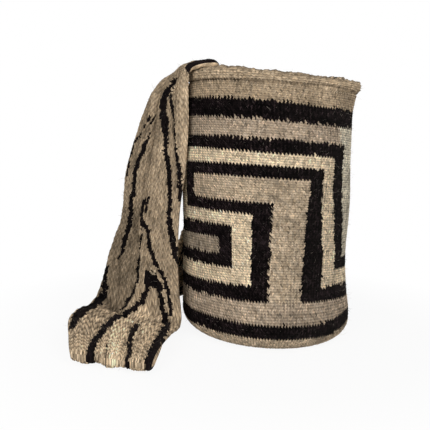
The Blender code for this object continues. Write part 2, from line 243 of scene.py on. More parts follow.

# Dark stripes on the strap's outer side, listed one by one: half width in mm, then mm along and
# percent across
STRIPE_LINES = (
    ((3.4, 20, 4), (5.1, 34, 3), (6.2, 46, 4), (6.0, 54, 3), (3.0, 61, 1), (0.9, 67, 0)),
    ((0.7, 110, 70), (1.1, 124, 74), (1.5, 132, 80), (1.3, 145, 94), (1.5, 158, 97), (1.3, 180, 94)),
    ((0.7, 112, 62), (1.2, 123, 68)),
    (
        (0.8, 134, 67), (2.0, 141, 68), (2.6, 154, 72), (2.5, 161, 75), (2.9, 176, 77), (2.7, 191, 77),
        (3.0, 208, 81), (3.4, 230, 79), (3.0, 250, 78), (1.9, 265, 77), (0.6, 274, 83),
    ),
    (
        (1.2, 74, 36), (2.6, 83, 40), (4.0, 92, 44), (4.2, 104, 44), (3.2, 114, 42), (3.8, 124, 38),
        (2.2, 139, 35), (2.2, 153, 33), (3.2, 164, 28), (3.4, 175, 23), (2.5, 195, 17), (2.4, 215, 15),
        (3.0, 232, 12), (3.0, 242, 8), (3.2, 256, 4), (2.0, 268, 1),
    ),
    (
        (0.9, 76, 39), (1.0, 94, 36), (1.6, 104, 33), (1.8, 111, 30), (1.7, 121, 23), (1.7, 131, 20),
        (1.7, 145, 17), (1.9, 160, 13), (2.2, 172, 8), (2.3, 179, 7), (2.3, 189, 4), (1.8, 203, 1),
    ),
    (
        (2.1, 207, 60), (2.6, 215, 59), (2.6, 223, 57), (2.8, 231, 52), (2.6, 236, 46), (2.2, 239, 42),
        (2.1, 248, 39), (2.1, 256, 36), (1.9, 269, 28), (1.8, 279, 21), (1.7, 289, 15), (1.7, 303, 12),
        (1.6, 312, 11), (1.5, 321, 11),
    ),
    (
        (0.5, 236, 52), (0.8, 258, 50), (1.6, 268, 49), (1.7, 282, 48), (1.7, 292, 48), (1.6, 301, 50),
        (1.5, 314, 58), (1.0, 327, 64),
    ),
    ((4.2, 283, 32), (5.0, 289, 29), (5.0, 294, 25), (3.5, 298, 21)),
    (
        (2.0, 285, 36), (2.2, 298, 35), (2.2, 311, 41), (2.4, 319, 50), (3.0, 331, 56), (3.4, 352, 57),
        (3.4, 375, 60), (3.3, 391, 63), (3.4, 407, 70), (3.4, 422, 73), (3.0, 445, 76),
    ),
    (
        (1.8, 286, 29), (2.0, 298, 22), (2.0, 308, 20), (2.2, 316, 20), (2.8, 327, 17), (2.6, 347, 9),
        (2.8, 372, 6), (3.2, 396, 3), (3.2, 416, 3), (2.8, 448, 5),
    ),
    (
        (2.8, 286, 96), (3.0, 298, 95), (3.0, 312, 91), (3.4, 324, 93), (4.6, 340, 93), (4.8, 358, 91),
        (3.6, 376, 93), (1.5, 390, 96),
    ),
    ((2.0, 360, 34), (2.2, 376, 34), (2.1, 392, 32), (2.1, 409, 28), (2.2, 426, 27), (1.8, 445, 27)),
    ((0.6, 408, 54), (0.9, 415, 54), (0.8, 424, 53)),
    ((1.2, 204, 56), (1.3, 211, 55)),
    ((1.0, 203, 50), (1.3, 212, 52), (1.2, 219, 53)),
)
# A pale curl of yarn between two stripes: mm along and percent across, and its half width
PALE_CURL = ((275, 36), (278, 32), (280, 28), (283, 30), (280, 34))
PALE_CURL_HALF = 0.0010
# Plain stripes where the photo hides the strap: percent across, and half width in mm. They run to
# the first of these places along it and on from the second, and all along its inner side
PLAIN_STRIPES = (9, 22, 78, 91)
PLAIN_STRIPE_HALF = 2.2
PLAIN_STRIPES_TO = 0.048
PLAIN_STRIPES_FROM = 0.438
# How the stripes' edges waver: by how much, the seed of the draws, and the pitch
STRIPE_WAVERS = ((0.00055, 53, 0.006), (0.00030, 54, 0.0025))

# Folds on the strap's outer side: depth in mm (a ridge if negative), half width in mm, then mm
# along and percent across
FOLD_LINES = (
    (1.6, 2.2, ((70, 33), (84, 41), (100, 40), (120, 27), (150, 19), (185, 9))),
    (2.2, 3.4, ((86, 62), (110, 58), (140, 56), (175, 60), (205, 66))),
    (1.8, 3.0, ((84, 84), (110, 80), (140, 82), (170, 88))),
    (2.4, 2.6, ((198, 58), (207, 60), (222, 62))),
    (2.2, 2.6, ((268, 80), (285, 77), (300, 74), (320, 73))),
    (3.4, 3.6, ((274, 36), (285, 30), (296, 27))),
    (3.6, 4.0, ((318, 92), (325, 78), (334, 62), (346, 46), (352, 36), (342, 24), (330, 14), (330, 2))),
    (-1.8, 7.0, ((340, 78), (380, 82), (420, 86))),
    (-1.8, 7.0, ((352, 46), (388, 48), (428, 48))),
    (-1.6, 6.0, ((350, 22), (388, 20), (428, 18))),
)

# Where the strap's right layer lies over its left one: mm along and percent across, how deep,
# how sharp its edge is, and over which mm along it comes and goes
OVERLAP_LINE = (
    (200, 63), (220, 64), (235, 59), (260, 51), (276, 48), (288, 46), (305, 53), (326, 64), (345, 70),
)
OVERLAP_DEPTH = 0.0045
OVERLAP_EDGE = 0.035
OVERLAP_SPAN = (200, 235, 320, 350)

# Tones of the strap, most of them painted light and shade. Between these two places along it, it
# comes to lie folded, and is painted brighter there, as lit from above, with more painted contrast,
# most of all in its middle, a painted pool of light: by how much, where across and how wide.
# Its right edge is painted brighter, as lit, by place along it
STRAP_LIES = (0.300, 0.345)
LYING_PAINTED_LIGHT = 0.38
# Painted shading of the plaits' relief and painted shade in the grooves: each, and more where it lies
PLAIT_PAINTED_SHADING = (0.32, 0.28)
BRAID_GROOVE_PAINTED_SHADE = (0.45, 0.15)
LIT_MIDDLE = (0.38, 0.46, 0.13)
LIT_EDGE = ((0.10, 0.70), (0.16, 0.25), (0.21, 0.0))
LIT_EDGE_WIDTH = 0.16
# Painted shade on the layer behind and in the folds, with its limits
BEHIND_PAINTED_SHADE = 0.38
FOLD_PAINTED_SHADE = 120
FOLD_SHADE_LIMITS = (0.55, 1.15)
PLAIT_VARIES = 0.17
STRAP_PATCH_VARIES = 0.09

# Whip stitches that hold the strap's ends inside the mouth
END_STITCHES = 11
SIDE_STITCHES = (0.005, 0.012, 0.019)
STITCH_REACH = 0.0046
STITCH_YARN = 0.0007
STITCH_DEPTH = 0.0022
STITCH_SLOPE = 22.0

# Loose wool hairs: how deep they root, how thick they are, how they lean, vary in length, bend
# and droop, and how far they pale towards a colour
HAIR_ROOT = 0.0004
HAIR_THICKNESS = 0.00009
HAIR_LEAN = (0.25, 1.0)
HAIR_SPREAD = 0.45
HAIR_SPAN = (0.35, 2.4)
HAIR_BEND = 0.35
HAIR_DROOP = 0.45
HAIR_PALE = (0.52, 0.46, 0.38)
HAIR_PALING = 0.75

# The camera that took the photograph
CAMERA_PLACE = (-0.057, -0.60, 0.184)
CAMERA_LENS = 44.87
CAMERA_SENSOR = 36.0
CAMERA_PITCH = 5.86
CAMERA_ROLL = 2.5

# Light: the world's strength, then each softbox's name, place, size and power in watts
AMBIENT = 0.34
SOFTBOXES = (
    ("right_softbox", (1.05, -1.45, 1.10), 1.2, 20.5),
    ("left_fill", (-0.75, -1.6, 0.80), 1.2, 12.0),
)
LIGHT_AIM = (-0.03, 0.0, 0.13)
WHITE = (1, 1, 1, 1)
FLOOR_SIZE = 12.0
FLOOR_GAP = 0.0004
FLOOR_COLOUR = (0.90, 0.90, 0.90, 1)
FLOOR_WHITENESS = 0.90
FLOOR_SHADOW_REACH = (0.18, 0.36)


def wool_setting(name, description, colour):
    return FloatVectorProperty(
        name=name, description=description, subtype="COLOR", size=3, min=0, max=1, default=colour
    )


def length_setting(name, description, default, low, high):
    return FloatProperty(
        name=name, description=description, default=default, min=low, max=high,
        subtype="DISTANCE", unit="LENGTH",
    )


def count_setting(name, description, default):
    return IntProperty(name=name, description=description, default=default, min=0, max=8000)


class BagSettings(PropertyGroup):
    """Sizes and colours of the bag."""

    tan: wool_setting("Tan wool", "Colour of the collar, the hem and the inside", (0.375, 0.286, 0.190))
    strap: wool_setting("Strap wool", "Colour of the strap between its stripes", (0.345, 0.262, 0.174))
    sand: wool_setting("Sand wool", "Colour of the meander's broad field and foot", (0.455, 0.357, 0.250))
    brown_grey: wool_setting(
        "Brown-grey wool", "Colour of the fields above and below the meander", (0.395, 0.310, 0.225)
    )
    grey: wool_setting("Grey wool", "Colour of the field in the meander's turn", (0.310, 0.250, 0.182))
    pale_grey: wool_setting("Pale grey wool", "Colour of the field beside the meander", (0.56, 0.50, 0.385))
    cream: wool_setting("Cream wool", "Colour of the meander", (0.665, 0.535, 0.372))
    dark: wool_setting("Dark wool", "Colour of the lines and stripes", (0.006, 0.004, 0.0042))
    round_relief: length_setting("Round relief", "How far each round stands out", 0.0006, 0, 0.002)
    tooth: length_setting("Stitch lean", "How far a stitch's two legs part in height", 0.0026, 0, 0.005)
    braid_relief: length_setting("Braid relief", "Depth of the grooves between braids", 0.0014, 0, 0.003)
    bag_hairs: count_setting("Hairs on the bag", "Loose wool hairs on the crocheted wall", 5200)
    strap_hairs: count_setting("Hairs on the strap", "Loose wool hairs on the strap", 4200)
    hair_length: length_setting("Hair length", "Length of a loose wool hair", 0.005, 0.001, 0.02)


def settings():
    """The sizes and colours that the panel shows."""
    return bpy.context.scene.mochila_bag


def smooth(x, table):
    """The rows of a table at x, its first column, on a smooth curve through them."""
    rows = np.array(table, float)
    knots, values = rows[:, 0], rows[:, 1:]
    x = np.clip(np.asarray(x, float), knots[0], knots[-1])
    slopes = np.gradient(values, knots, axis=0)
    i = np.clip(np.searchsorted(knots, x, side="right") - 1, 0, len(knots) - 2)
    span = (knots[i + 1] - knots[i])[..., None]
    t = (x - knots[i])[..., None] / span
    return (
        (2 * t**3 - 3 * t**2 + 1) * values[i]
        + (t**3 - 2 * t**2 + t) * span * slopes[i]
        + (3 * t**2 - 2 * t**3) * values[i + 1]
        + (t**3 - t**2) * span * slopes[i + 1]
    )


def wall_points(turn, height, out=0.0):
    """Points on the bag's outer face, or off it by out, at angles round the bag and heights."""
    turn, height, out = np.broadcast_arrays(*(np.asarray(v, float) for v in (turn, height, out)))
    share = np.maximum(height, 0) / BODY_HEIGHT
    half_width, front, back, shift = np.moveaxis(smooth(share, WALL_SHAPE), -1, 0)
    rise = np.clip(EDGE_ROUNDING - np.maximum(height, 0), 0, None)
    inset = EDGE_ROUNDING - np.sqrt(EDGE_ROUNDING**2 - rise**2) - out
    side, depth = np.sin(np.radians(turn)), np.cos(np.radians(turn))
    reach = np.where(depth > 0, front, back)
    apart = (turn - RIM_DIP_TURN[0] + 180.0) % 360.0 - 180.0
    dip = RIM_DIP * np.exp(-((apart / RIM_DIP_TURN[1]) ** 2))
    lift = -RIM_TILT * side * share**1.5 - dip * share**8
    return np.stack([shift + (half_width - inset) * side, -(reach - inset) * depth, height + lift], -1)


def drift(turn, height):
    """How far the crocheted columns have drifted round the bag at this height."""
    down = np.maximum(DRIFT_FROM - height, 0.0) / DRIFT_SPAN
    return (DRIFT + DRIFT_TO_RIGHT * np.sin(np.radians(turn))) * down**DRIFT_POWER


def level(name):
    """The height of a band's lower edge."""
    names = [band for band, _, _ in BANDS]
    return sum(size for _, size, _ in BANDS[: names.index(name)])


def in_box(turn, height, box):
    """True inside a box of angles and heights, which comes again with each repeat of the meander."""
    low_turn, high_turn, low, high = box
    middle = (low_turn + high_turn) / 2
    apart = (turn - middle + MEANDER_REPEAT / 2) % MEANDER_REPEAT - MEANDER_REPEAT / 2
    half = (high_turn - low_turn) / 2
    inside = (np.abs(apart) < half) | (half > MEANDER_REPEAT / 2)
    return inside & (low < height) & (height < high)


def meander_runs(cream):
    """The straight runs of the meander's cream line, or of that line with its dark outline."""
    if cream:
        near, far = 1, 2
        names = ("low_cream", "low_upper_line", "mid_cream", "mid_line", "high_cream", "high_line")
    else:
        near, far = 0, 3
        names = (
            "low_line", "inner_field", "mid_lower_line", "broad_field", "high_lower_line", "upper_field",
        )
    low, low_top, mid, mid_top, high, high_top = (level(name) for name in names)
    return (
        (RIGHT_DROP[near] - MEANDER_REPEAT, INNER_RISER[far], low, low_top),
        (INNER_RISER[near], INNER_RISER[far], low, mid_top),
        (OUTER_RISER[near], INNER_RISER[far], mid, mid_top),
        (OUTER_RISER[near], OUTER_RISER[far], mid, high_top),
        (OUTER_RISER[near], RIGHT_DROP[far], high, high_top),
        (RIGHT_DROP[near], RIGHT_DROP[far], low, high_top),
    )


def yarn_at(turn, height):
    """The wool of each stitch, as a place in WOOLS."""
    yarn = np.full(turn.shape, WOOLS.index("pale_grey"))
    low, mid, broad_top = level("low_line"), level("mid_cream"), level("high_cream")
    fields = (
        ("grey", (RIGHT_DROP[3] - MEANDER_REPEAT + 30, INNER_RISER[2], low, mid)),
        ("sand", (OUTER_RISER[2], RIGHT_DROP[1], mid, broad_top)),
        ("sand", (INNER_RISER[2], RIGHT_DROP[1], low, broad_top)),
    )
    for wool, box in fields:
        yarn[in_box(turn, height, box)] = WOOLS.index(wool)
    for wool, cream in (("dark", False), ("cream", True)):
        for box in meander_runs(cream):
            yarn[in_box(turn, height, box)] = WOOLS.index(wool)
    for name, size, wool in BANDS:
        here = (height >= level(name)) & (height < level(name) + size)
        if name == "upper_field":
            yarn[here & (np.abs(turn - 90) > UPPER_PALE_TURN)] = WOOLS.index("brown_grey")
            yarn[here & (np.abs(turn - 90) <= UPPER_PALE_TURN)] = WOOLS.index("pale_grey")
        elif wool != "field":
            yarn[here] = WOOLS.index(wool)
    yarn[(height >= BODY_HEIGHT) | (height < 0)] = WOOLS.index("tan")
    return yarn


def wool_colours(yarn, shade, seed):
    """A colour for each face: its wool's, lighter or darker by shade, and a little warmer or cooler."""
    values = settings()
    wools = np.array([getattr(values, wool) for wool in WOOLS])
    warmth = np.random.default_rng(seed).normal(0, WARMTH, yarn.shape)
    colour = wools[yarn] * shade[..., None]
    colour = colour * np.stack([1 + warmth, np.ones_like(warmth), 1 - 1.4 * warmth], -1)
    return np.clip(colour, 0, 1)


def waves(points, seed, pitch, count=10):
    """Smooth waves over space, between about -1 and 1, at about this pitch."""
    draws = np.random.default_rng(seed)
    total = np.zeros(points.shape[:-1])
    for _ in range(count):
        way = draws.normal(size=3)
        way *= 2 * math.pi / (pitch * draws.uniform(0.7, 1.6)) / np.linalg.norm(way)
        total += np.sin(points @ way + draws.uniform(0, 2 * math.pi))
    return total / math.sqrt(count / 2)


def paint(mesh, domain, repeats, colours):
    """Keeps the yarn's colours on a mesh's corners or points, each colour on this many in a row."""
    shown = np.ones((len(colours), repeats, 4), np.float32)
    shown[:, :, :3] = colours[:, None, :]
    yarn = mesh.color_attributes.new("yarn", "FLOAT_COLOR", domain)
    yarn.data.foreach_set("color", shown.ravel())


def grid_piece(name, rings, colours, closed_ends, rounds=None):
    """A piece from closed rings of points, with a colour on each face and its own UV map.

    Rounds, if given, count the crocheted rounds up to each point.
    """
    rows, columns = rings.shape[:2]
    bpy.ops.object.select_all(action="DESELECT")
    bpy.ops.mesh.primitive_grid_add(x_subdivisions=columns, y_subdivisions=rows - 1, size=2, calc_uvs=True)
    piece = bpy.context.object
    piece.name = name
    mesh = piece.data
    mesh.name = name
    flat = np.empty(len(mesh.vertices) * 3)
    mesh.vertices.foreach_get("co", flat)
    flat = flat.reshape(-1, 3)
    column = np.rint((flat[:, 0] + 1) / 2 * columns).astype(int)
    row = np.rint((flat[:, 1] + 1) / 2 * (rows - 1)).astype(int)
    mesh.vertices.foreach_set("co", rings[row, column % columns].ravel())
    if rounds is not None:
        counted = mesh.attributes.new("rounds", "FLOAT", "POINT")
        counted.data.foreach_set("value", rounds[row, column % columns])
    corner = np.empty(len(mesh.loops), np.int32)
    mesh.loops.foreach_get("vertex_index", corner)
    corner = corner.reshape(-1, 4)
    face_column, face_row = column[corner].min(axis=1), row[corner].min(axis=1)
    paint(mesh, "CORNER", 4, colours[face_row, face_column])
    bpy.ops.object.mode_set(mode="EDIT")
    bpy.ops.mesh.select_all(action="SELECT")
    bpy.ops.mesh.remove_doubles(threshold=0.000002)
    if closed_ends:
        bpy.ops.mesh.select_all(action="DESELECT")
        bpy.ops.mesh.select_mode(type="EDGE")
        bpy.ops.mesh.select_non_manifold()
        bpy.ops.mesh.fill_holes(sides=0)
        bpy.ops.mesh.select_mode(type="VERT")
    bpy.ops.mesh.select_all(action="SELECT")
    bpy.ops.mesh.normals_make_consistent(inside=False)
    bpy.ops.mesh.select_all(action="DESELECT")
    bpy.ops.object.mode_set(mode="OBJECT")
    bpy.ops.object.shade_smooth()
    return piece


def feed(tree, node, sockets):
    """Sets each of these input sockets to a value, or links it to another node's output."""
    for socket, source in sockets.items():
        if isinstance(source, bpy.types.NodeSocket):
            tree.links.new(source, node.inputs[socket])
        else:
            node.inputs[socket].default_value = source


def shaded(tree, kind, sockets=None, **values):
    """A new node with these settings, and with its input sockets fed."""
    node = tree.nodes.new(kind)
    for key, value in values.items():
        setattr(node, key, value)
    feed(tree, node, sockets or {})
    return node


def calculated(tree, operation, *sources):
    """A value worked out from other values."""
    return shaded(tree, "ShaderNodeMath", dict(enumerate(sources)), operation=operation).outputs["Value"]


def mixed(tree, share, first, second):
    """A shader that goes from the first one to the second with this share."""
    return shaded(tree, "ShaderNodeMixShader", {"Fac": share, 1: first, 2: second}).outputs["Shader"]


def ranged(tree, source, *limits):
    """A value mapped from between the first two limits to between the other two."""
    sockets = ("Value", "From Min", "From Max", "To Min", "To Max")
    return shaded(tree, "ShaderNodeMapRange", dict(zip(sockets, (source, *limits)))).outputs["Result"]


def wool_material(name, fibre_size, depth, sheen, round_shading=None):
    """Matte wool: the piece's own yarn colours, mottled by fibres, with a fine hairy bump.

    The round tones, if given, are the painted light of a crocheted round and the painted shade of the line
    between two rounds.
    """
    material = bpy.data.materials.new(name)
    material.use_nodes = True
    tree = material.node_tree
    place = shaded(tree, "ShaderNodeTexCoord").outputs["Object"]
    yarn = shaded(tree, "ShaderNodeAttribute", attribute_name="yarn").outputs["Color"]
    fine = {"Vector": place, "Scale": 1 / fibre_size, "Detail": 3.0, "Roughness": 0.65}
    broad = {"Vector": place, "Scale": PATCHES_PER_METRE, "Detail": 2.0}
    fibres, patches = (shaded(tree, "ShaderNodeTexNoise", noise).outputs["Fac"] for noise in (fine, broad))
    fibre_tone = ranged(tree, fibres, *NOISE_SPAN, *FIBRE_TONES)
    patch_tone = ranged(tree, patches, *NOISE_SPAN, *PATCH_TONES)
    tone = calculated(tree, "MULTIPLY", fibre_tone, patch_tone)
    if round_shading:
        tone = painted_shade_between_rounds(tree, tone, round_shading)
    mottled = shaded(tree, "ShaderNodeVectorMath", {0: yarn, "Scale": tone}, operation="SCALE")
    bump = shaded(tree, "ShaderNodeBump", {"Strength": 0.6, "Distance": depth, "Height": fibres})
    feed(tree, tree.nodes["Principled BSDF"], {
        "Base Color": mottled.outputs["Vector"], "Normal": bump.outputs["Normal"],
        "Roughness": 0.95, "Specular IOR Level": 0.04,
        "Sheen Weight": sheen, "Sheen Roughness": 0.6, "Sheen Tint": (1.0, 0.93, 0.82, 1.0),
    })
    return material


def painted_shade_between_rounds(tree, tone, round_shading):
    """The tone with a painted shade line between each crocheted round and the next, and painted light on
    each round.
    """
    rounds = shaded(tree, "ShaderNodeAttribute", attribute_name="rounds").outputs["Fac"]
    swing = calculated(tree, "COSINE", calculated(tree, "MULTIPLY", rounds, 2 * math.pi))
    return calculated(tree, "MULTIPLY", ranged(tree, swing, *ROUND_SPAN, *round_shading), tone)


def outward(points):
    """Unit normals of a grid of points: rows go up, and columns to the right, all the way round."""
    wrapped = np.concatenate([points[:, -1:], points, points[:, :1]], axis=1)
    round_it = (wrapped[:, 2:] - wrapped[:, :-2]) / 2
    up = np.gradient(points, axis=0)
    normal = np.cross(round_it, up)
    size = np.linalg.norm(normal, axis=2, keepdims=True)
    return normal / np.maximum(size, 1e-12)


def bag_rows():
    """The bag's rows from the middle of its base up the wall, over the rim and down inside.

    Each row is a height, how far it stands off the wall, its size against the wall's, and its
    share of crochet relief.
    """
    rows = [(0.0, 0.0, share, 0.3) for share in np.linspace(0.02, 0.96, BASE_ROWS)]
    half_rounds = EDGE_ROUNDS * FACES_PER_STITCH
    for k in range(half_rounds):
        turn = math.pi / 2 * k / half_rounds
        rows.append((EDGE_ROUNDING * (1 - math.cos(turn)), 0.0, 1.0, 1.0))
    hem_from = level("hem")
    tuck, tuck_share = HEM_TUCK
    roll, turned, bend = HEM_ROLL
    for height in np.linspace(EDGE_ROUNDING, BODY_HEIGHT, WALL_ROUNDS * FACES_PER_STITCH + 1):
        share = (height - hem_from) / (BODY_HEIGHT - hem_from)
        out = -tuck * math.exp(-((share / tuck_share) ** 2))
        if share > 0:
            out += HEM_BULGE * (roll * math.sin(math.pi * min(share * turned, 1)) ** bend)
        rows.append((height, out, 1.0, 1.0))
    rows += [(BODY_HEIGHT + up, out, 1.0, relief) for up, out, relief in RIM_ROWS]
    inner = np.linspace(BODY_HEIGHT, EDGE_ROUNDING, INSIDE_ROWS)
    rows += [(height, -WALL_THICKNESS, 1.0, 0.5) for height in inner]
    rows += [(height, -WALL_THICKNESS, 1.0, 0.3) for height in INSIDE_FOOT]
    rows += [(INSIDE_BASE, -WALL_THICKNESS, share, 0.2) for share in INSIDE_SHARES]
    return np.array(rows)


def bag_colours(points, rows, fade):
    """A colour for each face of the bag: its bands and toothed meander, the tones of stitches, and painted
    light and shade on its rows, grooves and under the hem.
    """
    height, wall = rows[:, :1], rows[:, 3:] >= 0.99
    face_height = (height[:-1] + height[1:]) / 2
    number = np.arange(len(rows) - 1)[:, None]
    column = np.arange(STITCHES * FACES_PER_STITCH)[None, :]
    odd_face = column % 2 == 1
    toothed = fade[:-1] > 0
    half_round = BODY_HEIGHT / WALL_ROUNDS / FACES_PER_STITCH
    jumps = np.random.default_rng(19)
    jump = jumps.normal(0, TOOTH_RAGGED * half_round, (len(rows) - 1, column.size))
    wander = jumps.normal(0, TOOTH_RAGGED, (len(rows) - 1, 1))
    tooth_height = face_height + half_round * np.where(odd_face, -TOOTH_STEP, TOOTH_STEP) * toothed
    tooth_height = tooth_height + jump * toothed
    centre = ((column + 0.5) / FACES_PER_STITCH + wander) * 360.0 / STITCHES - 180.0
    lifted = np.interp(tooth_height, *zip(*FOOT_LINE_LIFT))
    lift_share = np.interp(centre, *zip(*FOOT_LINE_SHARE))
    tooth_height = tooth_height + (lifted - tooth_height) * lift_share
    stray = np.interp(tooth_height, *zip(*STRAY)) * np.interp(centre, *zip(*STRAY_SHARE))
    yarn = yarn_at(centre - stray, tooth_height)
    # The base, the rim and the inside are plain
    rim = np.argmax(rows[:, 0]) - 4
    yarn[:BASE_ROWS] = yarn[rim:] = WOOLS.index("tan")

    tones = np.random.default_rng(23)
    face_round = (number - BASE_ROWS) // 2
    by_stitch = tones.normal(0, STITCH_VARIES, (len(rows) // 2 + 2, STITCHES))
    by_round = tones.normal(0, ROUND_VARIES, len(rows) // 2 + 2)
    shade = 1 + by_stitch[face_round, column // 2] + by_round[face_round]
    # Painted light on the raised rows and painted shade in the grooves between them
    raised, groove = np.where(odd_face, *RAISED_PAINTED_LIGHT), np.where(odd_face, *GROOVE_PAINTED_SHADE)
    shade *= np.where(number % 2 == 1, raised, groove)
    shade *= 1 + tones.normal(0, FACE_VARIES, shade.shape).clip(-0.5, 0.5)
    shade *= 1 + PATCH_VARIES * waves(points[:-1], seed=8, pitch=0.030)
    # Painted shadow under the hem's roll
    hem_shadow = np.exp(-(((face_height - level("hem")) / HEM_SHADOW_HALF) ** 2))
    shade *= 1 - HEM_SHADOW_DARK * wall[:-1] * hem_shadow
    shade = np.where(yarn == WOOLS.index("dark"), shade**3, shade)
    return wool_colours(yarn, shade, seed=31)


def make_bag():
    """The crocheted body: each round raised off the wall, and each stitch leaning like a tooth."""
    values = settings()
    rows = bag_rows()
    columns = STITCHES * FACES_PER_STITCH
    height, out, share, relief = (rows[:, k][:, None] for k in range(4))
    number = np.arange(len(rows))[:, None]
    column = np.arange(columns)[None, :]
    odd_column, odd_row = column % 2, number % 2
    draws = np.random.default_rng(11)
    wall = relief >= 0.99
    stitch = column // 2 + np.where(odd_column == 1, SECOND_LEG, 0.0)
    stitch = stitch + np.where(odd_row == 1, ROW_LEAN, -ROW_LEAN) * wall
    turn = stitch * 360.0 / STITCHES - 180.0
    from_rim = BODY_HEIGHT - height
    fade = np.clip((height - TOOTH_FROM) / (TOOTH_FULL - TOOTH_FROM), 0, 1) * wall
    fade = fade * np.clip((from_rim - TOOTH_TO_RIM) / (TOOTH_FULL_TO_RIM - TOOTH_TO_RIM), 0, 1)
    tooth = (odd_column - 0.5) * values.tooth * fade
    tooth = tooth * draws.uniform(0.7, 1.3, (len(rows), columns))
    tooth = tooth + draws.uniform(-RAGGED, RAGGED, (len(rows), columns)) * fade
    points = wall_points(turn - drift(turn, height), height + tooth, out)
    middle = np.array([WALL_SHAPE[0][4], 0.0])
    points[..., :2] = middle + share[..., None] * (points[..., :2] - middle)
    normal = outward(points)
    stands = np.where(odd_row == 1, 1.0, -1.0) + LEG_RELIEF * np.where(odd_column == 1, 1.0, -1.0)
    stands = values.round_relief * stands + draws.normal(0, LUMPS, (len(rows), columns))
    knobs = waves(points, seed=5, pitch=0.007) * RIM_KNOBS * np.clip((height - level("hem")) / 0.004, 0, 1)
    dents = waves(points, seed=3, pitch=0.075) * WALL_DENTS * np.clip(height / 0.03, 0, 1)
    points = points + normal * (stands * relief + knobs * wall + dents)[..., None]
    points[..., 2] = np.maximum(points[..., 2], 0.0)

    # Rounds counted at each point, for the painted shade line between rounds in the material
    round_height = (BODY_HEIGHT - EDGE_ROUNDING) / WALL_ROUNDS
    rounds = np.where(wall, (number - BASE_ROWS) / 2 + tooth / round_height, 0.0)
    bag = grid_piece("crocheted_bag", points, bag_colours(points, rows, fade), False, rounds)
    wool = wool_material("crocheted wool", 0.0011, depth=0.0007, sheen=0.015, round_shading=ROUND_PAINTED_SHADING)
    bag.data.materials.append(wool)
    return bag


def strap_stations(u):
    """Sections of the strap's middle surface, from its end in the left of the mouth to the other."""
    inside = -(WALL_THICKNESS + STRAP_THICKNESS / 2 + INSIDE_CLEARANCE)
    outside = HEM_BULGE + STRAP_THICKNESS / 2 + CLEARANCE
    over = (inside + outside) / 2
    top = BODY_HEIGHT

    def wrapped(root, height, out):
        return wall_points(root[0] + u * (root[1] - root[0]), height, out)

    def spread(first, last, bulge, forward=(0.0, -1.0, 0.0)):
        first, last, forward = (np.array(v, float) for v in (first, last, forward))
        return first + u[:, None] * (last - first) + (4 * u * (1 - u) * bulge)[:, None] * forward

    def in_mouth(root):
        found = [wrapped(root, top + up, inside) for up in (-ROOT_DEPTH, -ROOT_DEPTH / 2, ROOT_STRAIGHT)]
        return found + [wrapped(root, top + ROOT_RISE, over)]

    found = in_mouth(LEFT_ROOT)
    found.append(wrapped(LEFT_TURN_OVER, top + ROOT_STRAIGHT, outside + TURN_OVER_OFF))
    forward = np.array([-0.35, -0.93, 0.0])
    for share, off, front, left, back, up, bulge, gather in FRONT_RUN:
        height = share * BODY_HEIGHT
        first = np.array([wall_points(-90.0, height)[0] - off, front, height])
        section = spread(first, first + np.array([-left, back, up]), bulge, forward)
        found.append(section + (gather * np.sin(2 * math.pi * GATHERS * u))[:, None] * forward)
    for right, left, bulge in FLOOR_RUN:
        ends = [np.array([-edge[0], -edge[1], edge[2]]) for edge in (right, left)]
        found.append(spread(*ends, bulge))
    for turn, height, climb, off in BACK_RUN:
        middle = wall_points(turn, height)
        reach = math.hypot(middle[0], middle[1])
        along = (1 - 2 * u) * STRAP_WIDTH / 2
        up = along * math.cos(math.radians(climb))
        round_it = along * math.sin(math.radians(climb))
        found.append(wall_points(turn + np.degrees(round_it / reach), height + up, off))
    found.append(wrapped(RIGHT_ROOT, top + ROOT_STRAIGHT, outside))
    return np.array(found + in_mouth(RIGHT_ROOT)[::-1])


def curve_through(stations, places):
    """Sections on a smooth curve through the stations, at these places, counted in stations."""
    before, after = 2 * stations[:1] - stations[1:2], 2 * stations[-1:] - stations[-2:-1]
    padded = np.concatenate([before, stations, after])
    i = np.clip(np.floor(places).astype(int), 0, len(stations) - 2)
    t = (places - i)[:, None, None]
    a, b, c, d = padded[i], padded[i + 1], padded[i + 2], padded[i + 3]
    return 0.5 * (
        2 * b + (c - a) * t + (2 * a - 5 * b + 4 * c - d) * t**2 + (3 * b - a - 3 * c + d) * t**3
    )


def strap_middle(u, rows):
    """The strap's middle surface in equal steps along it, and how far along each row is."""
    stations = strap_stations(u)
    fine = np.linspace(0, len(stations) - 1, 40 * (len(stations) - 1) + 1)
    line = curve_through(stations, fine)[:, len(u) // 2]
    run = np.concatenate([[0], np.cumsum(np.linalg.norm(np.diff(line, axis=0), axis=1))])
    wanted = np.linspace(0, run[-1], rows)
    surface = curve_through(stations, np.interp(wanted, run, fine))
    surface[..., 2] = np.maximum(surface[..., 2], STRAP_THICKNESS / 2)
    return surface, wanted


def line_distance(along, across, line):
    """How far each place of the strap is from a line drawn on it, and the nearest place on the line."""
    points = np.array(line, float)
    points = np.stack([points[:, 0] / 1000, points[:, 1] / 100 * STRAP_WIDTH], -1)
    here = np.stack(np.broadcast_arrays(along, across * STRAP_WIDTH), -1)
    best = np.full(here.shape[:-1], 9.0)
    where = np.zeros(here.shape[:-1])
    for k, (a, b) in enumerate(zip(points, points[1:])):
        step = b - a
        t = np.clip((here - a) @ step / (step @ step), 0, 1)
        apart = np.linalg.norm(here - a - t[..., None] * step, axis=-1)
        nearer = apart < best
        best = np.where(nearer, apart, best)
        where = np.where(nearer, k + t, where)
    return best, where


